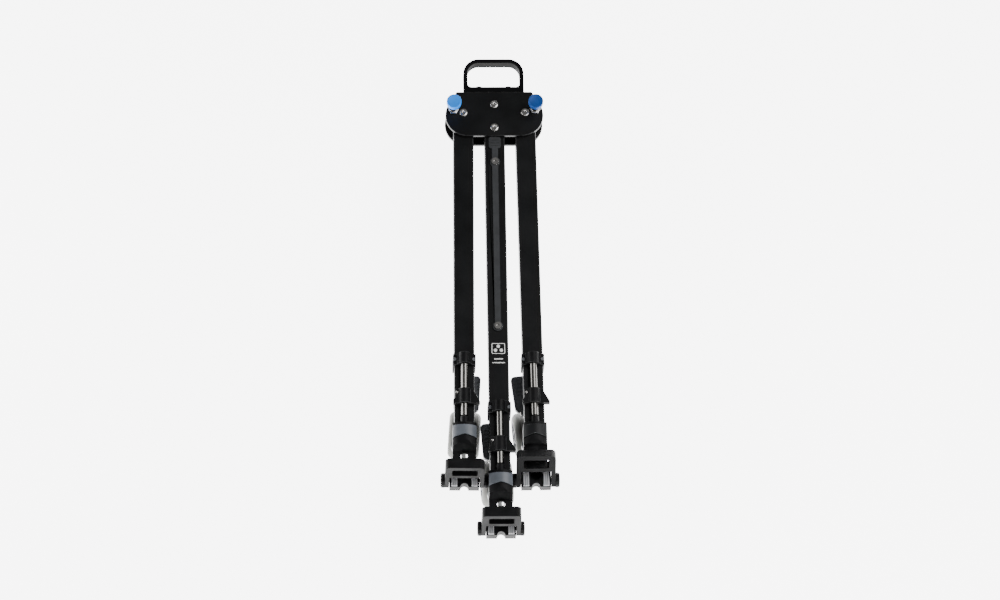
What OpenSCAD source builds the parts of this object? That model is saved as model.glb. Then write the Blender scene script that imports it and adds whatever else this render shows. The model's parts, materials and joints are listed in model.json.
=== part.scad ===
// Folding three-wheel tripod dolly, shown folded, with its casters on the ground.
// +Z is up, the arms point along -Y and the carry handle along +Y.
// Side numbers: -1 is the left arm, 0 the centre arm, 1 the right arm.
// "Reach" is a distance from the pivot line towards -Y.

/* [Hub] */
// Distance from the centre arm to each side arm's pivot
pivot_x = 46; // [44:0.5:52]
// Thickness of each hub plate
plate_t = 6; // [5:0.5:8]
// Radius of the hub plates' round ends
plate_r = 33; // [31:1:34]
// Pivot line to the hub's straight rear edge
plate_back = 33; // [32:1:35]
// Half width of the straight rear edge
plate_back_w = 56; // [52:1:58]

/* [Arms] */
// Outer width of the square arm tubes
tube = 30; // [28:0.5:32]
// Wall of the arm tubes
tube_wall = 2; // [1.5:0.25:2.5]
// Height of the tubes' underside above the ground
tube_z = 97; // [95:0.5:99]
// How much longer the centre arm is than the side arms
centre_extra = 76; // [75:1:80]
// Angle at which each side arm stands off when folded
splay = 0.7; // [0.7:0.05:1]

/* [Casters] */
// Wheel diameter
wheel_d = 70; // [66:1:72]
// Overall width of a pair of wheels
wheels_w = 47; // [42:1:50]
// Reach of the side arms' caster swivel axes
swivel_reach = 517; // [514:1:519]
// Swivel axis to wheel axle
trail = 38; // [36:1:40]
// Width of a brake pedal
pedal_w = 38; // [30:1:38]

/* [Foot clamps] */
// Reach of the bail's hinge on the side arms
bail_reach = 577; // [575:1:579]
// Height of the bail above its hinge
bail_h = 50; // [46:1:54]
// Depth of the bail, front to rear
bail_t = 17; // [14:1:18]
// Outer width of the bail
bail_w = 58; // [56:1:58]
// Radius of the socket that takes a tripod's spike or foot
socket_r = 8; // [6:0.5:9]

/* [Handle] */
// Outer width of the carry handle
handle_w = 90; // [86:1:94]
// Pivot line to the end of the handle
handle_end = 89; // [86:1:94]
// Thickness of the handle's flat bar
handle_t = 6; // [4.5:0.5:7]
// Width of the handle's base bar, against the hub
handle_base = 11; // [8:0.5:12]
// Depth of the handle's flat bar
handle_depth = 18; // [14:1:22]

/* [Hidden] */
$fn = 64;
SIDES = [-1, 0, 1];
NAMES = ["left", "centre", "right"];

black = [0.07, 0.07, 0.075];
soft_black = [0.12, 0.12, 0.13];
grey = [0.42, 0.43, 0.46];
pale = [0.8, 0.8, 0.76];
steel = [0.8, 0.8, 0.82];

// Hub
cradle_front = bail_reach + 13;
hub_y = (cradle_front + centre_extra - handle_end) / 2;
tube_top = tube_z + tube;
washer = 0.5;
top_z = tube_top + washer;
bottom_z = tube_z - washer - plate_t;
round_x = plate_r + 7;
round_y = -4.5;
centre_screws = [13, -24];
screw_r = 3.5;
head_r = 6.5;
head_h = 3.5;
plunger_x = 15;
plunger_y = 4;
plunger_r = 3;
lock_travel = 8;
block_r = 20;
knob_r = 11;
knob_h = 11;
knob_top = 169;
knob_cavity = 8.5;
deployed = 120;
strap_reach = [78, 341];
strap_w = 9;
handle_r = 23;

// Lock rod
rod_r = 5.5;
rod_z = tube_top + 6.3;
rod_end = 485;
collar_reach = [386, 403];
grip_reach = [443, 466];
tip_r = 2.5;

// Arm end
end_reach = [496, 552];
housing_w = 35;
crown_z = 139;
tail_z = 119;
cradle_w = 44;
cradle_top = 112;
socket_floor = 100;
bail_z = 105;
bolt_reach = 545;
tongue = [20, 22, 10];
stem_r = 6;
fit = 0.05;

// Casters
wheel_r = wheel_d / 2;
web = 12;
wheel_gap = 0.6;
wheel_w = (wheels_w - web) / 2 - wheel_gap;
hub_r = 24;
axle_r = 4;
head_z = 88;
pedal_hinge = 58;
pedal_hinge_z = 77;
pedal_end = 117;
pedal_bottom = 72;
pedal_t = 7;

function yaw(side) = side < 0 ? -3.5 : side > 0 ? 6.5 : 4;
function bail_tilt(side) = side > 0 ? 33 : 10;

// Placing

module arm_frame(side) {
  translate([side * pivot_x, hub_y, 0])
    rotate([0, 0, side * splay])
      translate([0, side == 0 ? -centre_extra : 0, 0])
        children();
}

module caster_frame(side) {
  arm_frame(side)
    translate([0, -swivel_reach, 0])
      rotate([0, 0, yaw(side)])
        children();
}

module wheel_frame(side) {
  caster_frame(side)
    translate([0, trail, wheel_r])
      rotate([0, 90, 0])
        children();
}

module bail_frame(side) {
  arm_frame(side)
    translate([0, -bail_reach, bail_z])
      rotate([-bail_tilt(side), 0, 0])
        children();
}

// A box given by its width centred on X, its reach from and to, and its height from and to.
module block(w, reach, z) {
  translate([-w / 2, -reach[1], z[0]])
    cube([w, reach[1] - reach[0], z[1] - z[0]]);
}

// A round bar or hole along Y, from one reach to another.
module along_arm(r, reach, z) {
  translate([0, -reach[0], z])
    rotate([90, 0, 0])
      cylinder(r = r, h = reach[1] - reach[0]);
}

module rounded_rect(w, d, r) {
  square([w - 2 * r, d], center = true);
  square([w, d - 2 * r], center = true);
  for (x = [-1, 1], y = [-1, 1])
    translate([x * (w / 2 - r), y * (d / 2 - r)])
      circle(r);
}

// A countersunk socket screw, its flat head level with z = 0.
module flat_screw(length) {
  difference() {
    union() {
      translate([0, 0, -head_h])
        cylinder(r1 = screw_r, r2 = head_r, h = head_h);
      translate([0, 0, -length])
        cylinder(r = screw_r, h = length - head_h + 0.01);
    }
    translate([0, 0, -3])
      cylinder(r = 2.6, h = 4, $fn = 6);
  }
}

module countersink(depth) {
  translate([0, 0, -head_h])
    cylinder(r1 = screw_r, r2 = head_r, h = head_h);
  translate([0, 0, -depth])
    cylinder(r = screw_r, h = depth);
  cylinder(r = head_r, h = 1);
}

// Hub

function arc(centre, r, from, to) =
  [for (a = [from : (to - from) / 36 : to]) centre + r * [cos(a), sin(a)]];

// Straight at the rear, round at both ends, and straight again between the rounds at the front.
module plate_outline() {
  corner = [plate_back_w, plate_back] - [round_x, round_y];
  touch = atan2(corner[1], corner[0]) - acos(plate_r / norm(corner));
  polygon(concat(
    [[-plate_back_w, plate_back]],
    arc([-round_x, round_y], plate_r, 180 - touch, 270),
    arc([round_x, round_y], plate_r, -90, touch),
    [[plate_back_w, plate_back]]
  ));
}

module at_hub_screws() {
  for (y = centre_screws)
    translate([0, hub_y + y, 0])
      children();
  for (side = [-1, 1])
    translate([side * pivot_x, hub_y, 0])
      children();
}

module at_plunger(side) {
  translate([side * (pivot_x + plunger_x), hub_y + plunger_y, 0])
    children();
}

module top_plate() {
  color(black)
    difference() {
      translate([0, hub_y, top_z])
        linear_extrude(plate_t)
          plate_outline();
      translate([0, 0, top_z + plate_t])
        at_hub_screws()
          countersink(plate_t + 1);
      for (side = [-1, 1])
        at_plunger(side)
          translate([0, 0, top_z - 1])
            cylinder(r = 5, h = plate_t + 2);
    }
}

module bottom_plate() {
  color(black)
    difference() {
      translate([0, hub_y, bottom_z])
        linear_extrude(plate_t)
          plate_outline();
      translate([0, 0, bottom_z - 1])
        at_hub_screws()
          cylinder(r = screw_r, h = plate_t + 2);
    }
}

module hub_spacer() {
  color(soft_black)
    difference() {
      translate([-38, hub_y + plate_back - 8, bottom_z + plate_t])
        cube([76, 8, top_z - bottom_z - plate_t]);
      at_handle_screws()
        cylinder(r = 2.5, h = 30, center = true);
    }
}

module hub_screws() {
  color(steel)
    translate([0, 0, top_z + plate_t])
      at_hub_screws()
        flat_screw(top_z + plate_t - bottom_z);
}

module plunger_collars() {
  color(steel)
    for (side = [-1, 1])
      at_plunger(side)
        difference() {
          union() {
            translate([0, 0, top_z])
              cylinder(r = 5, h = plate_t + 1);
            translate([0, 0, top_z + plate_t])
              cylinder(r = 8, h = 4, $fn = 6);
            translate([0, 0, top_z + plate_t])
              cylinder(r = 5.5, h = knob_top - knob_h - 0.5 - top_z - plate_t);
          }
          translate([0, 0, top_z - 1])
            cylinder(r = plunger_r + fit, h = 40);
        }
}

// A short blue knob, hollow below so that it comes down over the collar's barrel.
module plunger_knob(side) {
  knob_z = knob_top - knob_h;
  color(side < 0 ? [0.35, 0.66, 0.86] : [0.18, 0.36, 0.72])
    at_plunger(side)
      translate([0, 0, knob_z])
        difference() {
          union() {
            cylinder(r1 = knob_r - 1.5, r2 = knob_r, h = 2);
            translate([0, 0, 2])
              cylinder(r = knob_r, h = knob_h - 3);
            translate([0, 0, knob_h - 1])
              cylinder(r1 = knob_r, r2 = knob_r - 1, h = 1);
          }
          translate([0, 0, -1])
            cylinder(r = 6.2, h = knob_cavity + 1);
          translate([0, 0, knob_cavity - 1])
            cylinder(r = plunger_r, h = 2.5);
        }
}

module plunger_pin(side) {
  tip = top_z + 0.9;
  color(steel)
    at_plunger(side)
      translate([0, 0, tip])
        cylinder(r = plunger_r, h = knob_top - knob_h + knob_cavity + 1.5 - tip);
}

module at_handle_screws() {
  for (x = [-22, 22])
    translate([x, hub_y + plate_back, top_z - handle_depth / 2 - 2])
      rotate([90, 0, 0])
        children();
}

// The handle's outline, square at the hub and well rounded at its far end.
module handle_loop(inset, base, low_r) {
  w = handle_w - 2 * inset;
  low = plate_back + 0.1 + base;
  high = handle_end - inset;
  r = handle_r - inset;
  translate([0, (low + high - r) / 2])
    rounded_rect(w, high - low - r, low_r);
  translate([-w / 2, low + low_r])
    square([w, high - r - low - low_r]);
  for (side = [-1, 1])
    translate([side * (w / 2 - r), high - r])
      circle(r);
  translate([-w / 2 + r, high - 2 * r])
    square([w - 2 * r, 2 * r]);
}

module carry_handle() {
  color(soft_black)
    difference() {
      translate([0, hub_y, top_z - handle_depth - 2])
        linear_extrude(handle_depth)
          difference() {
            handle_loop(0, 0, 2);
            handle_loop(handle_t, handle_base, 6);
          }
      at_handle_screws()
        cylinder(r = 2.5, h = 30, center = true);
    }
}

module handle_screws() {
  color(steel)
    at_handle_screws()
      difference() {
        union() {
          translate([0, 0, -handle_base])
            cylinder(r = 2.5, h = handle_base + 7);
          translate([0, 0, -handle_base - 3.1])
            cylinder(r = 4.5, h = 3);
        }
        translate([0, 0, -handle_base - 4])
          cylinder(r = 2, h = 2.5, $fn = 6);
      }
}

module strap() {
  reach = strap_reach;
  color([0.22, 0.22, 0.23])
    translate([0, hub_y, tube_top])
      difference() {
        union() {
          for (y = reach)
            translate([0, -y, 0])
              cylinder(r = 7.5, h = 2.5);
          block(strap_w, reach, [0, 2.5]);
          block(strap_w, [54, reach[0]], [0, 2.5]);
          translate([0, -47, 0])
            linear_extrude(2.5)
              rounded_rect(18, 18, 4);
          for (i = [0:2])
            block(14, [41 + 4.5 * i, 43 + 4.5 * i], [2.4, 3.6]);
        }
        for (y = reach)
          translate([0, -y, -1])
            cylinder(r = 3, h = 5);
      }
}

module strap_screws() {
  color(steel)
    for (y = strap_reach)
      translate([0, hub_y - y, tube_top])
        difference() {
          union() {
            translate([0, 0, -6])
              cylinder(r = 3, h = 9);
            translate([0, 0, 2.5])
              cylinder(r = 5.5, h = 3);
          }
          translate([0, 0, 3.5])
            cylinder(r = 2.3, h = 3, $fn = 6);
        }
}

// Arms

module pivot_block(side) {
  color(soft_black)
    translate([side * pivot_x, hub_y, 0])
      rotate([0, 0, side * splay])
        difference() {
          union() {
            translate([0, 0, tube_z])
              cylinder(r = block_r, h = tube);
            block(tube - 2 * tube_wall, [10, 42], [tube_z + tube_wall, tube_top - tube_wall]);
          }
          translate([0, 0, tube_z - 1])
            cylinder(r = screw_r + fit, h = tube + 2);
          for (turn = [splay, deployed])
            rotate([0, 0, -side * turn])
              translate([side * plunger_x, plunger_y, tube_top - lock_travel])
                cylinder(r = plunger_r + 0.3, h = lock_travel + 1);
        }
}

module tube_body(reach) {
  difference() {
    block(tube, reach, [tube_z, tube_top]);
    block(tube - 2 * tube_wall, [reach[0] - 1, reach[1] + 1],
      [tube_z + tube_wall, tube_top - tube_wall]);
  }
}

module arm_tube(side) {
  color(black)
    if (side == 0)
      difference() {
        translate([0, hub_y, 0])
          tube_body([-21, end_reach[0] + centre_extra]);
        translate([0, 0, tube_z - 1])
          at_hub_screws()
            cylinder(r = screw_r, h = tube + 2);
        for (y = strap_reach)
          translate([0, hub_y - y, tube_top - 4])
            cylinder(r = 3, h = 5);
      }
    else
      arm_frame(side)
        tube_body([block_r + 1, end_reach[0]]);
}

module rod_collar(side) {
  color(soft_black)
    arm_frame(side)
      difference() {
        union() {
          block(tube + 4, collar_reach, [tube_z - 2, tube_top + 4]);
          block(22, collar_reach, [tube_top, rod_z + 3]);
          along_arm(rod_r + 3.5, collar_reach, rod_z);
        }
        block(tube, [collar_reach[0] - 1, collar_reach[1] + 1], [tube_z, tube_top]);
        along_arm(rod_r + fit, [collar_reach[0] - 1, collar_reach[1] + 1], rod_z);
      }
}

module lock_rod(side) {
  color(steel)
    arm_frame(side) {
      along_arm(rod_r, [collar_reach[0] + 4, rod_end], rod_z);
      along_arm(tip_r, [rod_end - 1, rod_end + 19], rod_z);
    }
}

module rod_grip(side) {
  color(soft_black)
    arm_frame(side)
      difference() {
        union() {
          block(28, grip_reach, [tube_top + 0.3, rod_z + 3]);
          along_arm(rod_r + 3.5, grip_reach, rod_z);
          translate([0, 0, tube_top + 0.3])
            linear_extrude(9)
              polygon([[-17, -460], [-17, -466], [23, -466], [23, -463], [14, -447], [-14, -457]]);
        }
        along_arm(rod_r, [grip_reach[0] - 1, grip_reach[1] + 1], rod_z);
        block(tube, [grip_reach[0] - 1, grip_reach[1] + 1], [tube_z, tube_top + 0.3]);
      }
}

// The housing's crowned section, level with the tube below and arched above.
module crown_section(top) {
  r = 26;
  intersection() {
    translate([0, top - r])
      circle(r);
    translate([-housing_w / 2, tube_z])
      square([housing_w, top - tube_z]);
  }
  translate([-housing_w / 2, tube_z])
    square([housing_w, top - r + sqrt(r * r - housing_w * housing_w / 4) - tube_z]);
}

module arched(reach, top) {
  translate([0, -reach[0], 0])
    rotate([90, 0, 0])
      linear_extrude(reach[1] - reach[0])
        crown_section(top);
}

module end_housing(side) {
  inner = tube - 2 * tube_wall;
  slope = [524, 530];
  guide_r = 6.2;
  guide = [rod_end + 2, end_reach[0] + 1];
  color(black)
    arm_frame(side)
      difference() {
        union() {
          arched([end_reach[0], slope[0]], crown_z);
          intersection() {
            arched([slope[0] - 0.01, end_reach[1]], crown_z);
            translate([-housing_w / 2, 0, 0])
              rotate([90, 0, 90])
                linear_extrude(housing_w)
                  polygon([[-end_reach[1], tube_z], [-slope[0] + 1, tube_z],
                    [-slope[0] + 1, crown_z + 1], [-slope[0], crown_z],
                    [-slope[1], crown_z - 2], [-bolt_reach + 7, tail_z],
                    [-end_reach[1], tail_z]]);
          }
          block(inner, [end_reach[0] - 20, end_reach[0]],
            [tube_z + tube_wall, tube_top - tube_wall]);
          along_arm(guide_r, guide, rod_z);
          block(2 * guide_r, guide, [tube_top + 0.1, rod_z]);
        }
        translate([0, -swivel_reach, tube_z - 1])
          cylinder(r = stem_r + fit, h = 24);
        along_arm(tip_r + fit, [rod_end, 512], rod_z);
        block(tongue[0], [end_reach[1] - tongue[1], end_reach[1] + 1], [100, 100 + tongue[2]]);
        translate([0, -bolt_reach, 95])
          cylinder(r = 3, h = 40);
      }
}

module chevron_cover(side) {
  reach = [end_reach[0] + 5, 520];
  notch = 4.5;
  color(grey)
    arm_frame(side)
      difference() {
        arched(reach, crown_z + 2.5);
        arched([reach[0] - 1, reach[1] + 1], crown_z + fit);
        block(housing_w + 2, [reach[0] - 1, reach[1] + 1], [tube_z - 1, tube_top - 6]);
        translate([0, 0, tube_z])
          linear_extrude(60)
            polygon([[-housing_w, -reach[1] - 2], [-housing_w / 2, -reach[1]],
              [0, -reach[1] + notch], [housing_w / 2, -reach[1]], [housing_w, -reach[1] - 2]]);
      }
}

module foot_cradle(side) {
  color(soft_black)
    arm_frame(side)
      difference() {
        union() {
          block(cradle_w, [end_reach[1], cradle_front], [tube_z, cradle_top]);
          block(tongue[0], [end_reach[1] - tongue[1], end_reach[1] + 1], [100, 100 + tongue[2]]);
        }
        translate([0, -bail_reach + 6, socket_floor])
          cylinder(r = socket_r, h = 30);
        translate([0, -cradle_front, tube_z - 1])
          cylinder(r = 6, h = 30);
        for (x = [-1, 1])
          translate([x * cradle_w / 2, -bail_reach, bail_z])
            rotate([0, 90, 0])
              cylinder(r = 3 + fit, h = 18, center = true);
        translate([0, -bolt_reach, 95])
          cylinder(r = 3, h = 20);
      }
}

module foot_pads(side) {
  color(pale)
    arm_frame(side)
      for (x = [-1, 1])
        translate([x * 15, 0, 0]) {
          block(9, [554, cradle_front - 1], [cradle_top, cradle_top + 2]);
          for (i = [0:2])
            translate([-3 + 3 * i, 0, 0])
              block(1.6, [554, cradle_front - 1], [cradle_top + 1.9, cradle_top + 4]);
        }
}

module cradle_bolt(side) {
  color(steel)
    arm_frame(side)
      translate([0, -bolt_reach, 0])
        difference() {
          union() {
            translate([0, 0, 101])
              cylinder(r = 3, h = tail_z - 100);
            translate([0, 0, tail_z])
              cylinder(r = 6, h = 4);
            translate([0, 0, tail_z + 4])
              cylinder(r1 = 6, r2 = 5, h = 1);
          }
          translate([0, 0, tail_z + 2])
            cylinder(r = 2.6, h = 4, $fn = 6);
        }
}

module foot_bail(side) {
  low = -6.5;
  window = cradle_w + 1.2;
  slot_w = 38;
  corner = 7;
  color(soft_black)
    bail_frame(side) {
      rotate([90, 0, 0])
        translate([0, 0, -bail_t / 2])
          linear_extrude(bail_t)
            difference() {
              union() {
                translate([0, (low + bail_h) / 2])
                  rounded_rect(bail_w, bail_h - low, corner);
                translate([-bail_w / 2, low])
                  square([bail_w, 2 * corner]);
              }
              translate([-window / 2, low - 1])
                square([window, 22.5 - low]);
              translate([0, 35])
                rounded_rect(slot_w, 15, 3);
            }
      for (x = [-1, 1])
        rotate([0, 90 * x, 0]) {
          translate([0, 0, cradle_w / 2 - 8])
            cylinder(r = 3, h = 9);
          translate([0, 0, bail_w / 2 - 0.1])
            cylinder(r = 10.5, h = 5);
          translate([0, 0, bail_w / 2 + 4.8])
            cylinder(r1 = 10.5, r2 = 9, h = 1.2);
        }
    }
}

// Casters

module caster_fork(side) {
  color([0.6, 0.61, 0.63])
    caster_frame(side)
      difference() {
        union() {
          translate([0, 0, head_z])
            cylinder(r = 19, h = tube_z - head_z - 0.5);
          translate([0, 0, head_z])
            cylinder(r = stem_r, h = 30);
          translate([-web / 2, 0, 0])
            rotate([90, 0, 90])
              linear_extrude(web)
                difference() {
                  union() {
                    polygon([[-17, head_z + 1], [19, head_z + 1], [pedal_hinge, pedal_hinge_z + 5],
                      [pedal_hinge, pedal_hinge_z - 5], [trail + 9, wheel_r], [trail - 9, wheel_r],
                      [-17, head_z - 6]]);
                    translate([trail, wheel_r])
                      circle(9);
                    translate([pedal_hinge, pedal_hinge_z])
                      circle(5);
                  }
                  translate([trail, wheel_r])
                    circle(axle_r);
                  translate([pedal_hinge, pedal_hinge_z])
                    circle(2.5 + fit);
                }
        }
      }
}

module axle(side) {
  color(steel)
    wheel_frame(side)
      cylinder(r = axle_r, h = wheels_w - 3, center = true);
}

// One wheel of a pair, its inner face against the fork's web.
module each_wheel() {
  for (end = [0, 180])
    rotate([0, end, 0])
      translate([0, 0, web / 2 + wheel_gap])
        children();
}

module tyres(side) {
  color(pale)
    wheel_frame(side)
      each_wheel()
        rotate_extrude()
          polygon([
            [hub_r, 0], [wheel_r - 2, 0], [wheel_r, 2],
            for (a = [0:15:75])
              [wheel_r - 9 * (1 - cos(a)), wheel_w - 9 + 9 * sin(a)],
            [hub_r, wheel_w]
          ]);
}

module wheel_hubs(side) {
  color([0.3, 0.31, 0.33])
    wheel_frame(side)
      each_wheel()
        difference() {
          rotate_extrude()
            polygon([[0, 0], [hub_r, 0], [hub_r, wheel_w], [hub_r - 2, wheel_w],
              [hub_r - 4, wheel_w - 3], [10, wheel_w - 3], [8, wheel_w], [0, wheel_w]]);
          translate([0, 0, -1])
            cylinder(r = axle_r + fit, h = wheel_w);
        }
}

module brake_pedal(side) {
  ear = 4;
  color(soft_black)
    caster_frame(side) {
      difference() {
        translate([0, (pedal_hinge + 3 + pedal_end) / 2, pedal_bottom])
          linear_extrude(pedal_t)
            rounded_rect(pedal_w, pedal_end - pedal_hinge - 3, 6);
        translate([-web / 2 - 0.6, pedal_hinge - 1, pedal_bottom - 1])
          cube([web + 1.2, 8, pedal_t + 2]);
      }
      for (i = [0:3])
        translate([-pedal_w / 2 + 4, 88 + 6 * i, pedal_bottom + pedal_t - 0.1])
          cube([pedal_w - 8, 2.5, 1.1]);
      for (x = [-1, 1])
        translate([x * (web / 2 + 0.6 + ear / 2), pedal_hinge, pedal_hinge_z])
          rotate([0, 90, 0])
            cylinder(r = 4.8, h = ear, center = true);
      translate([0, pedal_hinge, pedal_hinge_z])
        rotate([0, 90, 0])
          cylinder(r = 2.5, h = web + 2 * ear, center = true);
    }
}

top_plate();
bottom_plate();
hub_spacer();
hub_screws();
plunger_collars();
carry_handle();
handle_screws();
strap();
strap_screws();
for (side = [-1, 1]) {
  plunger_knob(side);
  plunger_pin(side);
  pivot_block(side);
}
for (side = SIDES) {
  arm_tube(side);
  rod_collar(side);
  end_housing(side);
  chevron_cover(side);
  foot_cradle(side);
  foot_pads(side);
  cradle_bolt(side);
  lock_rod(side);
  rod_grip(side);
  caster_fork(side);
  axle(side);
  tyres(side);
  wheel_hubs(side);
  brake_pedal(side);
  foot_bail(side);
}
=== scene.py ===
"""Looks for the folding tripod dolly: materials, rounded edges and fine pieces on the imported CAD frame.

Metres, +Z up, arms along -Y. "Reach" is a distance from an arm's pivot line towards its foot.
Pieces are drawn in millimetres in their part's own frame, then placed by a matrix that scales to metres.
"""

import json
import math

import bmesh
import bpy
from mathutils import Matrix, Vector


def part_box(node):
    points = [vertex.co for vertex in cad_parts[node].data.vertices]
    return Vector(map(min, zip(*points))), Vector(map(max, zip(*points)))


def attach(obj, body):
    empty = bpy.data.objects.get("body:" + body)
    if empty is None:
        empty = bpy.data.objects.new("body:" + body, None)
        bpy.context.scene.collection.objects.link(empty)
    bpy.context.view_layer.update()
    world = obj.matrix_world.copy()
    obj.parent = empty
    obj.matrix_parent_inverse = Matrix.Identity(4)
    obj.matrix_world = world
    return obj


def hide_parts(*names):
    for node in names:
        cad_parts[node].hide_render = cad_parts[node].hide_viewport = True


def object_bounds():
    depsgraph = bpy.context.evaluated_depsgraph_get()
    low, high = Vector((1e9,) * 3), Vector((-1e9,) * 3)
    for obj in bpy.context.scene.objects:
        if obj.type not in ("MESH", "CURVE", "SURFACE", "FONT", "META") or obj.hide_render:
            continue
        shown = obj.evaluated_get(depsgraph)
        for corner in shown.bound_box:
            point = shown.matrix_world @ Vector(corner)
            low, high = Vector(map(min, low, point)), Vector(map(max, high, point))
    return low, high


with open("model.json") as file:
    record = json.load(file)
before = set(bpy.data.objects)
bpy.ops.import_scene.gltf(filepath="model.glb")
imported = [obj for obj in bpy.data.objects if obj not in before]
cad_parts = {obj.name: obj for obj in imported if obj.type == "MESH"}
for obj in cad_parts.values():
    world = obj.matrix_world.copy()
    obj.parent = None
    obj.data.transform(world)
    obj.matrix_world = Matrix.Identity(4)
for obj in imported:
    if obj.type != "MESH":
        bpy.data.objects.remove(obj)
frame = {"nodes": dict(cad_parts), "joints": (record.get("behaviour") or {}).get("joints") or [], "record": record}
CAD_LOW, CAD_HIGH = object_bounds()
NODES = frame["nodes"]
JOINTS = {joint["name"]: joint for joint in frame["joints"]}
ARMS = ("left", "centre", "right")
ARM_BODY = {"left": "left_arm", "centre": "hub", "right": "right_arm"}
MM = 0.001
UP = Vector((0, 0, 1))

# ---------------------------------------------------------------- camera and light


def look_at(obj, target, roll=0.0):
    direction = target - obj.location
    turn = direction.to_track_quat("-Z", "Y")
    obj.rotation_mode = "QUATERNION"
    obj.rotation_quaternion = turn @ Matrix.Rotation(roll, 3, "Z").to_quaternion()


def add_camera():
    """A long lens high above the feet, a little to the left, and slightly rolled."""
    distance = 20.0
    frame_width = 1000 / 673  # metres of object across the picture
    sensor = 36
    azimuth, elevation, roll = math.radians(-5.6), math.radians(68.4), math.radians(5.0)
    target = Vector((0.004, -0.0075, 0.12))
    away = Vector((
        math.sin(azimuth) * math.cos(elevation),
        -math.cos(azimuth) * math.cos(elevation),
        math.sin(elevation),
    ))
    data = bpy.data.cameras.new("camera")
    data.sensor_width = sensor
    data.lens = sensor * distance / frame_width
    data.clip_end = 100
    camera = bpy.data.objects.new("camera", data)
    bpy.context.scene.collection.objects.link(camera)
    camera.location = target + away * distance
    look_at(camera, target, roll)
    bpy.context.scene.camera = camera


def add_area_light(name, position, target, size, power):
    data = bpy.data.lights.new(name, "AREA")
    data.shape = "RECTANGLE"
    data.size, data.size_y = size
    data.energy = power
    light = bpy.data.objects.new(name, data)
    light.location = position
    bpy.context.scene.collection.objects.link(light)
    look_at(light, Vector(target))


def add_world(strength):
    world = bpy.data.worlds.new("studio")
    world.use_nodes = True
    background = world.node_tree.nodes["Background"]
    background.inputs["Color"].default_value = (1, 1, 1, 1)
    background.inputs["Strength"].default_value = strength
    bpy.context.scene.world = world


# ---------------------------------------------------------------- materials


def new_material(name):
    material = bpy.data.materials.new(name)
    material.use_nodes = True
    tree = material.node_tree
    return material, tree, tree.nodes["Principled BSDF"]


def noise(tree, scale, detail=4.0, stretch=(1, 1, 1)):
    """Noise in the object's own metres; scale is in repeats per metre."""
    place = tree.nodes.new("ShaderNodeTexCoord")
    mapping = tree.nodes.new("ShaderNodeMapping")
    mapping.inputs["Scale"].default_value = stretch
    tree.links.new(place.outputs["Object"], mapping.inputs["Vector"])
    texture = tree.nodes.new("ShaderNodeTexNoise")
    texture.inputs["Scale"].default_value = scale
    texture.inputs["Detail"].default_value = detail
    tree.links.new(mapping.outputs["Vector"], texture.inputs["Vector"])
    return texture.outputs["Fac"]


def remap(tree, value, low, high, start=0.3, end=0.7):
    node = tree.nodes.new("ShaderNodeMapRange")
    node.inputs["From Min"].default_value = start
    node.inputs["From Max"].default_value = end
    node.inputs["To Min"].default_value = low
    node.inputs["To Max"].default_value = high
    tree.links.new(value, node.inputs["Value"])
    return node.outputs["Result"]


def mix_colour(tree, factor, first, second):
    node = tree.nodes.new("ShaderNodeMix")
    node.data_type = "RGBA"
    tree.links.new(factor, node.inputs["Factor"])
    node.inputs[6].default_value = (*first, 1)
    node.inputs[7].default_value = (*second, 1)
    return node.outputs[2]


def add_bump(tree, shader, height, distance):
    bump = tree.nodes.new("ShaderNodeBump")
    bump.inputs["Strength"].default_value = 1.0
    bump.inputs["Distance"].default_value = distance
    tree.links.new(height, bump.inputs["Height"])
    tree.links.new(bump.outputs["Normal"], shader.inputs["Normal"])


def surface(
    name, base, rough, metallic=0.0, tint=0.15, mottle=40.0, grain=900.0, grain_depth=0.0,
    stretch=(1, 1, 1), specular=0.5, coat=0.0, second=None,
):
    """A procedural finish: colour mottle, roughness that varies with it, and fine grain.

    rough is (smooth patches, dull patches), grain_depth is in metres, and second is the colour
    of the lighter patches, wear and a painted edge highlight in one, if they differ by more than a tint.
    """
    material, tree, shader = new_material(name)
    slow = noise(tree, mottle, 3.0, stretch)
    darker = tuple(c * (1 - tint) for c in base)
    lighter = second or tuple(min(1, c * (1 + tint)) for c in base)
    tree.links.new(mix_colour(tree, remap(tree, slow, 0, 1), darker, lighter), shader.inputs["Base Color"])
    tree.links.new(remap(tree, slow, rough[0], rough[1]), shader.inputs["Roughness"])
    shader.inputs["Metallic"].default_value = metallic
    shader.inputs["Coat Weight"].default_value = coat
    shader.inputs["Specular IOR Level"].default_value = specular
    if grain_depth:
        add_bump(tree, shader, noise(tree, grain, 2.0, stretch), grain_depth)
    return material
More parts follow.
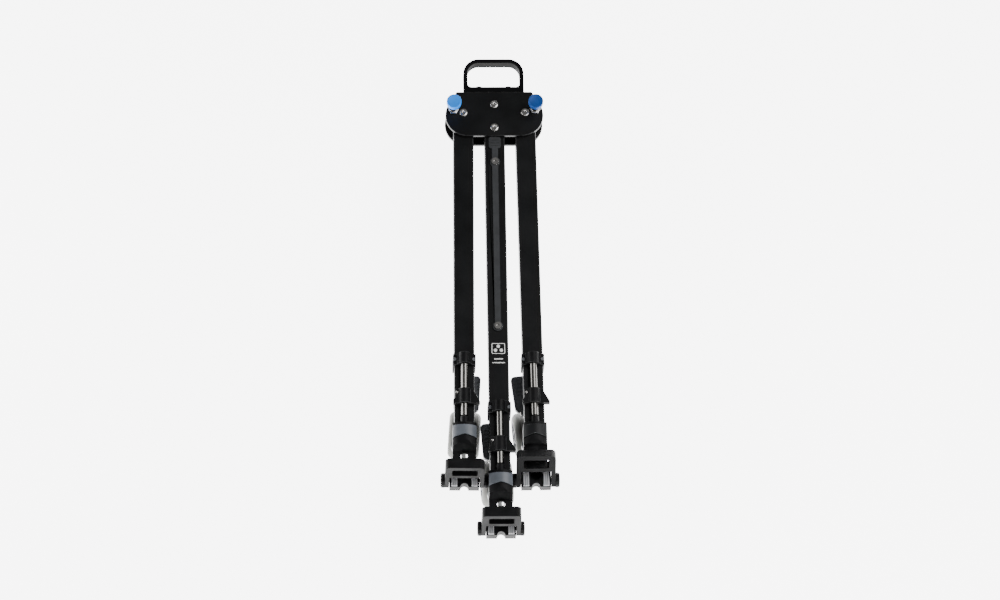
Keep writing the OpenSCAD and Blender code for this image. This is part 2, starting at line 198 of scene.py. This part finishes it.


# slot: base colour, (smooth, dull) roughness, other settings, colour of its edges: wear and a painted highlight
FINISHES = {
    "anodised_black": (
        (0.0035, 0.0035, 0.0038), (0.32, 0.44),
        dict(tint=0.25, mottle=25, grain=2600, grain_depth=4e-6, specular=0.12), (0.03, 0.03, 0.032),
    ),
    "handle_black": (
        (0.0038, 0.0038, 0.0042), (0.5, 0.6),
        dict(tint=0.2, mottle=30, grain=1600, grain_depth=1e-5, specular=0.02), (0.03, 0.03, 0.032),
    ),
    "plastic_black": (
        (0.0042, 0.0042, 0.0046), (0.42, 0.54),
        dict(tint=0.3, mottle=60, grain=2200, grain_depth=3e-5, specular=0.08), (0.05, 0.051, 0.053),
    ),
    # The chevron covers are glossy black; this mid-grey paints the sheen of the lit covers.
    "cast_grey": (
        (0.068, 0.076, 0.088), (0.3, 0.42),
        dict(tint=0.15, mottle=50, grain=2000, grain_depth=1e-5, specular=0.3), (0.13, 0.14, 0.155),
    ),
    "strap_rubber": (
        (0.014, 0.015, 0.017), (0.5, 0.66),
        dict(tint=0.3, mottle=80, grain=2400, grain_depth=3e-5, specular=0.35), (0.06, 0.062, 0.065),
    ),
    "pad_rubber": (
        (0.31, 0.315, 0.325), (0.5, 0.68),
        dict(tint=0.15, mottle=120, grain=2000, grain_depth=3e-5, specular=0.35), (0.34, 0.34, 0.35),
    ),
    "chrome_steel": (
        (0.36, 0.35, 0.34), (0.13, 0.22),
        dict(metallic=1.0, tint=0.06, mottle=80, grain=3000, grain_depth=1e-6), (0.8, 0.8, 0.8),
    ),
    "rod_steel": (
        (0.13, 0.126, 0.12), (0.16, 0.26),
        dict(metallic=1.0, tint=0.1, mottle=60, grain=3000, grain_depth=1e-6, stretch=(1, 0.1, 1)),
        (0.3, 0.3, 0.29),
    ),
    "cap_steel": (
        (0.75, 0.75, 0.74), (0.1, 0.18),
        dict(metallic=1.0, tint=0.05, mottle=80, grain=3000, grain_depth=1e-6), (0.9, 0.9, 0.9),
    ),
    # The chevron covers' copy painted in shade: a darker grey for the cover on the right arm.
    "cast_grey_in_shade": (
        (0.006, 0.0062, 0.007), (0.4, 0.52),
        dict(tint=0.2, mottle=50, grain=2000, grain_depth=1e-5, specular=0.15), (0.09, 0.095, 0.1),
    ),
    "knob_light_blue": (
        (0.009, 0.2, 0.72), (0.42, 0.52),
        dict(metallic=0.1, tint=0.08, mottle=90, grain=3000, grain_depth=2e-6, specular=0.2),
        (0.25, 0.55, 0.9),
    ),
    "knob_dark_blue": (
        (0.004, 0.045, 0.2), (0.42, 0.52),
        dict(metallic=0.1, tint=0.08, mottle=90, grain=3000, grain_depth=2e-6, specular=0.2),
        (0.1, 0.22, 0.6),
    ),
    "tyre_grey": (
        (0.13, 0.13, 0.12), (0.46, 0.62),
        dict(tint=0.07, mottle=60, grain=1800, grain_depth=3e-5, specular=0.35), (0.22, 0.22, 0.205),
    ),
    "wheel_grey": (
        (0.085, 0.09, 0.098), (0.36, 0.5),
        dict(tint=0.2, mottle=70, grain=2000, grain_depth=1e-5, specular=0.4), (0.09, 0.09, 0.095),
    ),
    "fork_zinc": (
        (0.15, 0.153, 0.16), (0.28, 0.45),
        dict(metallic=0.9, tint=0.14, mottle=45, grain=1500, grain_depth=8e-6), (0.62, 0.62, 0.64),
    ),
}


def make_materials():
    """One finish per slot, and a second one, lighter in patches, for its rounded edges: wear and a painted
    highlight along them.
    """
    finishes, edges = {}, {}
    for name, (base, rough, settings, edge_wear_and_highlight) in FINISHES.items():
        finishes[name] = surface(name, base, rough, **settings)
        polished = (rough[0] * 0.8, rough[1] * 0.9)
        edges[name] = surface(f"{name}_edge", base, polished, **{**settings, "mottle": 160, "second": edge_wear_and_highlight})
    finishes["print_white"] = surface("print_white", (0.7, 0.7, 0.68), (0.5, 0.6), tint=0.08, mottle=400)
    edges["print_white"] = finishes["print_white"]
    return finishes, edges


def floor_material():
    """White and softly lit from within, like a light table, so the floor stays pale under a low key."""
    material = surface("floor_white", (0.85, 0.85, 0.85), (0.6, 0.7), tint=0.01, mottle=3)
    shader = material.node_tree.nodes["Principled BSDF"]
    shader.inputs["Emission Color"].default_value = (1, 1, 1, 1)
    shader.inputs["Emission Strength"].default_value = 6.0
    return material


MATERIALS, EDGES = make_materials()

# ---------------------------------------------------------------- frames of the moving parts


def joint_point(name):
    return Vector(JOINTS[name]["pos_m"])


def joint_axis(name):
    return Vector(JOINTS[name]["axis"]).normalized()


def axes_matrix(origin, x_axis, z_axis=UP):
    """From millimetres in a part's own frame to metres in the world."""
    y_axis = z_axis.cross(x_axis).normalized()
    z_axis = x_axis.cross(y_axis).normalized()
    matrix = Matrix((x_axis, y_axis, z_axis)).transposed().to_4x4()
    matrix.translation = origin
    return matrix @ Matrix.Scale(MM, 4)


def ground_under(name):
    point = joint_point(name)
    return Vector((point.x, point.y, 0))


def arm_matrix(arm):
    """X across the arm, +Y towards the hub, origin on the ground under the caster's swivel."""
    along = joint_axis(f"{arm}_lock_slide")
    return axes_matrix(ground_under(f"{arm}_caster_swivel"), along.cross(UP))


def wheel_matrix(arm):
    """Z along the axle, origin at the axle's middle."""
    spin = joint_axis(f"{arm}_wheel_spin")
    return axes_matrix(joint_point(f"{arm}_wheel_spin"), spin.cross(UP).normalized(), spin)


def caster_matrix(arm):
    """X along the axle, +Y towards the pedal, origin on the ground under the swivel."""
    return axes_matrix(ground_under(f"{arm}_caster_swivel"), joint_axis(f"{arm}_wheel_spin"))


def bail_matrix(arm):
    """Z along the bail's hinge, origin at its middle."""
    hinge = joint_axis(f"{arm}_foot_bail_tilt")
    return axes_matrix(joint_point(f"{arm}_foot_bail_tilt"), UP, -hinge)


# ---------------------------------------------------------------- mesh helpers


def round_edges(obj, width, segments=2, weld=False):
    """Small rounded edges in the lighter edge finish, which paints wear and a highlight along them, with faces
    kept flat by weighted normals.
    """
    if weld:
        merge = obj.modifiers.new("weld", "WELD")
        merge.merge_threshold = 1e-5
    bevel = obj.modifiers.new("rounded_edges", "BEVEL")
    bevel.width = width
    bevel.segments = segments
    bevel.limit_method = "ANGLE"
    bevel.angle_limit = math.radians(35)
    bevel.use_clamp_overlap = True
    # The bevel takes the second slot: the lighter edge finish, wear and a painted highlight.
    bevel.material = 1
    flat = obj.modifiers.new("flat_faces", "WEIGHTED_NORMAL")
    flat.keep_sharp = True


def set_finish(obj, slot):
    obj.data.materials.clear()
    obj.data.materials.append(MATERIALS[slot])
    obj.data.materials.append(EDGES[slot])


def add_piece(bm, name, body, slot, matrix, replaces=(), bevel=0.0, finish=None):
    """Turns a bmesh drawn in millimetres into a piece that rides on a body."""
    bm.transform(matrix)
    bmesh.ops.recalc_face_normals(bm, faces=bm.faces)
    mesh = bpy.data.meshes.new(name)
    bm.to_mesh(mesh)
    bm.free()
    for polygon in mesh.polygons:
        polygon.use_smooth = True
    obj = bpy.data.objects.new(name, mesh)
    bpy.context.scene.collection.objects.link(obj)
    set_finish(obj, finish or slot)
    if bevel:
        round_edges(obj, bevel * MM)
    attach(obj, body)
    if replaces:
        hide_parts(*replaces)
    return obj


def lathe(bm, profile, steps=72, shape=None, place=Matrix()):
    """Revolves (radius, height) points about Z, closing at the axis where a radius is 0.

    shape(index, angle) may return (radius factor, added height) for a point.
    """
    rings = []
    for index, (radius, height) in enumerate(profile):
        if radius < 1e-6:
            rings.append([bm.verts.new(place @ Vector((0, 0, height)))])
            continue
        ring = []
        for step in range(steps):
            angle = 2 * math.pi * step / steps
            factor, lift = shape(index, angle) if shape else (1, 0)
            r = radius * factor
            point = Vector((r * math.cos(angle), r * math.sin(angle), height + lift))
            ring.append(bm.verts.new(place @ point))
        rings.append(ring)
    for low, high in zip(rings, rings[1:]):
        for step in range(steps):
            after = (step + 1) % steps
            corners = (
                low[step % len(low)], low[after % len(low)],
                high[after % len(high)], high[step % len(high)],
            )
            unique = list(dict.fromkeys(corners))
            if len(unique) > 2:
                bm.faces.new(unique)


def prism(bm, outline, low, high, place=Matrix()):
    """A solid from an outline in XY and two heights."""
    bottom = [bm.verts.new(place @ Vector((x, y, low))) for x, y in outline]
    top = [bm.verts.new(place @ Vector((x, y, high))) for x, y in outline]
    bm.faces.new(list(reversed(bottom)))
    bm.faces.new(top)
    for i in range(len(outline)):
        j = (i + 1) % len(outline)
        bm.faces.new((bottom[i], bottom[j], top[j], top[i]))


def rounded_outline(width, depth, radius, centre=(0, 0), steps=6):
    """Corner arcs joined counter-clockwise, from the +X +Y corner."""
    points = []
    for corner, (sx, sy) in enumerate(((1, 1), (-1, 1), (-1, -1), (1, -1))):
        for step in range(steps + 1):
            angle = math.pi / 2 * (corner + step / steps)
            points.append((
                centre[0] + sx * (width / 2 - radius) + radius * math.cos(angle),
                centre[1] + sy * (depth / 2 - radius) + radius * math.sin(angle),
            ))
    return points


def shift(x=0.0, y=0.0, z=0.0):
    return Matrix.Translation((x, y, z))


def socket_screw(bm, radius, height, place):
    """A round cap screw standing on z = 0, with a hexagon socket."""
    socket, depth, rim = radius * 0.5, height * 0.6, radius * 0.12
    steps = 36

    def hexagon(index, angle):
        if index < 4:
            return 1, 0
        part = (angle + math.pi / 6) % (math.pi / 3) - math.pi / 6
        return math.cos(math.pi / 6) / math.cos(part), 0

    lathe(bm, [
        (radius, 0), (radius, height - rim), (radius - rim, height), (socket * 1.35, height),
        (socket * 1.15, height - rim * 0.5), (socket * 1.15, height - depth), (0, height - depth),
    ], steps, hexagon, place)


# ---------------------------------------------------------------- CAD nodes that stay

REPLACED = ("plunger_knob", "tyres", "wheel_hubs")
EDGE_WIDTH = {
    "top_plate": 0.7, "bottom_plate": 0.7, "hub_spacer": 0.5, "carry_handle": 1.3,
    "hub_screws": 0.3, "handle_screws": 0.25, "strap_screws": 0.35, "plunger_collars": 0.35,
    "strap": 0.7, "pivot_block": 0.5, "tube": 1.4, "rod_collar": 0.8, "end_housing": 1.0,
    "chevron_cover": 0.5, "foot_cradle": 0.9, "foot_pads": 0.35, "cradle_bolt": 0.4,
    "lock_rod": 0.5, "rod_grip": 0.8, "caster_fork": 0.9, "axle": 0.4,
    "brake_pedal": 0.9, "foot_bail": 1.6, "plunger_pin": 0.3,
}


# Nodes whose finish is a variant of their slot's. The right chevron cover takes the covers' copy painted in shade.
FINISH_OF = {"lock_rod": "rod_steel", "cradle_bolt": "cap_steel", "right_chevron_cover": "cast_grey_in_shade"}


def dress_cad_nodes():
    slots = {part["node"]: part["material_slot"] for part in frame["record"]["subparts"]}
    for name, obj in NODES.items():
        kind = name
        for side in ARMS:
            kind = kind.removeprefix(f"{side}_")
        if kind in REPLACED:
            continue
        set_finish(obj, FINISH_OF.get(name) or FINISH_OF.get(kind) or slots[name])
        width = EDGE_WIDTH[kind]
        round_edges(obj, width * MM, 3 if width > 1 else 2, weld=True)


# ---------------------------------------------------------------- fine pieces


def add_knobs():
    """Blue anodised knobs: a finely knurled body, a turned groove and a dished top."""
    grooves = 40
    body_rows = (7, 8)
    groove_depth = 0.02

    def knurl(index, angle):
        if index not in body_rows:
            return 1, 0
        return 1 - groove_depth * (0.5 + 0.5 * math.cos(grooves * angle)), 0

    profile = [
        (0, 8.5), (6.2, 8.5), (6.2, 0), (8.9, 0), (9.6, 0.4), (10.8, 2), (11, 2.4), (11, 2.8), (11, 8),
        (11, 8.4), (10.6, 8.6), (10.6, 9), (11, 9.2), (11, 10.2), (10.6, 10.8), (10.1, 11), (9.4, 11),
        (9, 10.8), (0, 10.75),
    ]
    for side in ("left", "right"):
        low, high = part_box(f"{side}_plunger_knob")
        origin = Vector(((low[0] + high[0]) / 2, (low[1] + high[1]) / 2, low[2]))
        bm = bmesh.new()
        lathe(bm, profile, grooves * 4, knurl)
        colour = "knob_light_blue" if side == "left" else "knob_dark_blue"
        add_piece(
            bm, f"{side}_knurled_knob", f"{side}_plunger", colour, axes_matrix(origin, Vector((1, 0, 0))),
            replaces=[f"{side}_plunger_knob"],
        )


def add_hub_screws():
    """A polished domed socket head in a black countersink over each hub screw."""
    left, right = joint_point("left_arm_fold"), joint_point("right_arm_fold")
    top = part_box("top_plate")[1][2] / MM
    middle = (left + right) / (2 * MM)
    places = [
        (left.x / MM, middle.y), (right.x / MM, middle.y),
        (middle.x, middle.y + 13), (middle.x, middle.y - 24),
    ]
    rings, domes = bmesh.new(), bmesh.new()
    for x, y in places:
        place = shift(x, y, top)
        lathe(rings, [
            (5.9, -0.3), (7.3, -0.3), (7.3, 0.06), (7, 0.12), (6.5, 0.08), (6.1, 0.02), (5.9, -0.3),
        ], 48, None, place)
        lathe(domes, [
            (0, -0.2), (6, -0.2), (6, 0.2), (5.7, 0.55), (5, 0.9), (4, 1.15), (3, 1.22), (2.7, 1.1),
            (2.6, 0.3), (1.6, 0.05), (0, -0.05),
        ], 48, None, place)
    bmesh.ops.remove_doubles(rings, verts=rings.verts, dist=1e-4)
    matrix = Matrix.Scale(MM, 4)
    add_piece(rings, "countersink_rings", "hub", "plastic_black", matrix)
    add_piece(domes, "screw_domes", "hub", "chrome_steel", matrix)


WEB = 12  # thickness of the caster fork's web, between the two wheels
WHEEL_GAP = 0.6
HUB_RADIUS = 24
TYRE_RADIUS = 35
SHOULDER_RADIUS = 9
TRAIL = 38  # from the swivel axis back to the axle


def wheel_width(arm):
    """Width of one wheel in millimetres, from the pair's overall width along its axle."""
    spin = joint_axis(f"{arm}_wheel_spin")
    middle = joint_point(f"{arm}_wheel_spin").dot(spin)
    reach = max(abs(vertex.co.dot(spin) - middle) for vertex in NODES[f"{arm}_tyres"].data.vertices)
    return reach / MM - WEB / 2 - WHEEL_GAP


def add_wheels():
    """Twin wheels: grooved, round-shouldered tyres on dished hubs with five ribs."""
    ribs, rib_height = 5, 2.2
    dished_rows = (5, 6, 7)

    def rib(index, angle):
        if index not in dished_rows:
            return 1, 0
        return 1, rib_height * max(0.0, math.cos(ribs * angle)) ** 2

    for arm in ARMS:
        width = wheel_width(arm)
        shoulder = width - SHOULDER_RADIUS
        tyre_profile = [(HUB_RADIUS, 0), (31, 0), (32, 0.6), (33.2, 0.8), (34.4, 1.4), (TYRE_RADIUS, 2.2)]
        for groove in (3.4, 5.6):
            tyre_profile += [
                (TYRE_RADIUS, groove), (34.3, groove + 0.25),
                (34.3, groove + 0.75), (TYRE_RADIUS, groove + 1),
            ]
        for step in range(1, 10):
            angle = math.pi / 2 * step / 10
            tyre_profile.append((
                TYRE_RADIUS - SHOULDER_RADIUS * (1 - math.cos(angle)),
                shoulder + SHOULDER_RADIUS * math.sin(angle),
            ))
        tyre_profile += [(25.2, width - 0.05), (24.8, width - 0.5), (24.2, width - 0.5), (HUB_RADIUS, 0)]
        hub_profile = [
            (4.2, 0), (HUB_RADIUS, 0), (HUB_RADIUS, width - 0.6), (22.6, width), (21.8, width - 0.3),
            (20.6, width - 4.6), (15, width - 5), (10.4, width - 4.6), (9, width - 0.7), (8.4, width),
            (6.6, width), (6.2, width - 0.6), (4.2, width - 0.6), (4.2, 0),
        ]
        tyres, hubs = bmesh.new(), bmesh.new()
        for turn in (0, math.pi):
            place = Matrix.Rotation(turn, 4, "Y") @ shift(z=WEB / 2 + WHEEL_GAP)
            lathe(tyres, tyre_profile, 120, None, place)
            lathe(hubs, hub_profile, 120, rib, place)
        for bm, name, slot, node in (
            (tyres, "grooved_tyres", "tyre_grey", "tyres"),
            (hubs, "ribbed_hubs", "wheel_grey", "wheel_hubs"),
        ):
            bmesh.ops.remove_doubles(bm, verts=bm.verts, dist=1e-4)
            add_piece(
                bm, f"{arm}_{name}", f"{arm}_wheels", slot, wheel_matrix(arm), replaces=[f"{arm}_{node}"],
            )


def add_caster_details():
    """A raceway ring over each swivel head, axle collars beside the web, and the pedal's hinge screws."""
    hinge_x, hinge_y, hinge_z = 10.6, 58, 77
    for arm in ARMS:
        bm = bmesh.new()
        lathe(bm, [
            (0, 82.5), (9, 82.5), (11, 83), (15.5, 86), (17.8, 86.4), (18.2, 87), (18.2, 89), (0, 89),
        ], 64)
        for side in (-1, 1):
            place = shift(side * WEB / 2, TRAIL, TYRE_RADIUS) @ Matrix.Rotation(side * math.pi / 2, 4, "Y")
            lathe(bm, [(0, 0), (7.2, 0), (7.2, 0.35), (6.8, 0.5), (0, 0.5)], 40, None, place)
        add_piece(bm, f"{arm}_raceway", f"{arm}_caster", "fork_zinc", caster_matrix(arm), bevel=0.3)
        pins = bmesh.new()
        for side in (-1, 1):
            place = shift(side * hinge_x, hinge_y, hinge_z) @ Matrix.Rotation(side * math.pi / 2, 4, "Y")
            socket_screw(pins, 3.4, 1.6, place)
        add_piece(pins, f"{arm}_pedal_pins", f"{arm}_pedal", "chrome_steel", caster_matrix(arm))


SWIVEL_REACH = 517  # from an arm's pivot line to its caster's swivel axis


def add_arm_screws():
    """Socket screws in the shoulders of each rod collar, and one in each rod grip."""
    collar_reach, collar_top = 394.5, 131
    grip_reach, grip_top = 449, 136.3
    for arm in ARMS:
        collar, grip = bmesh.new(), bmesh.new()
        for x in (-14, 14):
            socket_screw(collar, 2.4, 1.2, shift(x, SWIVEL_REACH - collar_reach, collar_top))
        socket_screw(grip, 1.8, 1.0, shift(-11.4, SWIVEL_REACH - grip_reach, grip_top))
        matrix = arm_matrix(arm)
        add_piece(collar, f"{arm}_collar_screws", ARM_BODY[arm], "wheel_grey", matrix)
        add_piece(grip, f"{arm}_grip_screw", f"{arm}_lock", "chrome_steel", matrix)


def add_bolt_caps():
    """A polished domed cap over each cradle bolt."""
    reach, seat = 545, 119
    for arm in ARMS:
        bm = bmesh.new()
        lathe(bm, [
            (0, 0.1), (6.2, 0.1), (6.4, 0.4), (6.4, 3.6), (6, 4.6), (5, 5.5),
            (3.6, 6.1), (1.8, 6.4), (0, 6.5),
        ], 48, None, shift(0, SWIVEL_REACH - reach, seat))
        piece = f"{arm}_bolt_cap"
        add_piece(bm, piece, ARM_BODY[arm], "chrome_steel", arm_matrix(arm), finish="cap_steel")


def add_bail_knobs():
    """Lobed caps with a screw on both ends of each bail's hinge."""
    lobes, lobe_height = 12, 0.025
    half_width = 29

    def lobed(index, angle):
        return (1 + lobe_height * math.cos(lobes * angle), 0) if 0 < index < 4 else (1, 0)

    for arm in ARMS:
        caps, screws = bmesh.new(), bmesh.new()
        for turn in (0, math.pi):
            place = Matrix.Rotation(turn, 4, "Y") @ shift(z=half_width)
            lathe(caps, [
                (0, 0.2), (10.6, 0.2), (10.8, 1), (10.8, 4.2), (10.2, 5.4), (8.8, 6.05), (5.4, 6.05),
                (5, 5.2), (0, 5.2),
            ], lobes * 8, lobed, place)
            socket_screw(screws, 3.6, 1.4, place @ shift(z=5.1))
        add_piece(caps, f"{arm}_bail_caps", f"{arm}_bail", "plastic_black", bail_matrix(arm))
        add_piece(screws, f"{arm}_bail_screws", f"{arm}_bail", "chrome_steel", bail_matrix(arm))


def add_badge():
    """A plain printed mark on the centre tube: an outlined square, three dots for the wheels, two bars."""
    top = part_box("centre_tube")[1][2] / MM
    low, high = top - 0.02, top + 0.05
    bm = bmesh.new()
    outer, inner = rounded_outline(20, 17, 2), rounded_outline(18, 15, 1.2)
    rings = []
    for outline, height in ((outer, low), (outer, high), (inner, high), (inner, low)):
        rings.append([bm.verts.new((x, y, height)) for x, y in outline])
    for first, second in zip(rings, rings[1:] + rings[:1]):
        for i in range(len(first)):
            j = (i + 1) % len(first)
            bm.faces.new((first[i], first[j], second[j], second[i]))
    for x, y in ((-4.4, -2.6), (4.4, -2.6), (0, 3.6)):
        lathe(bm, [(0, low), (2.6, low), (2.6, high), (0, high)], 24, None, shift(x, y))
    for y, width, depth in ((-16.5, 13, 1.8), (-22.5, 19, 1.4)):
        prism(bm, rounded_outline(width, depth, 0.6, (0, y), 3), low, high)
    reach = 300
    matrix = arm_matrix("centre") @ shift(y=SWIVEL_REACH - reach)
    add_piece(bm, "printed_mark", "hub", "strap_rubber", matrix, finish="print_white")


# ---------------------------------------------------------------- stage


def add_floor():
    bm = bmesh.new()
    bmesh.ops.create_grid(bm, x_segments=1, y_segments=1, size=6)
    mesh = bpy.data.meshes.new("floor")
    bm.to_mesh(mesh)
    bm.free()
    floor = bpy.data.objects.new("floor", mesh)
    floor.location.z = CAD_LOW.z - 0.0005
    mesh.materials.append(floor_material())
    bpy.context.scene.collection.objects.link(floor)


dress_cad_nodes()
add_knobs()
add_hub_screws()
add_wheels()
add_caster_details()
add_arm_screws()
add_bolt_caps()
add_bail_knobs()
add_badge()
add_floor()
add_world(0.3)
add_area_light("overhead_soft", (0.9, 0.1, 1.5), (0, 0, 0.1), (1.4, 1.0), 32)
add_area_light("front_soft", (0.3, -1.7, 0.8), (0, -0.1, 0.1), (1.6, 0.7), 30)
add_area_light("left_strip", (-1.5, 0.1, 0.5), (0, 0, 0.1), (1.4, 0.6), 22)
add_camera()
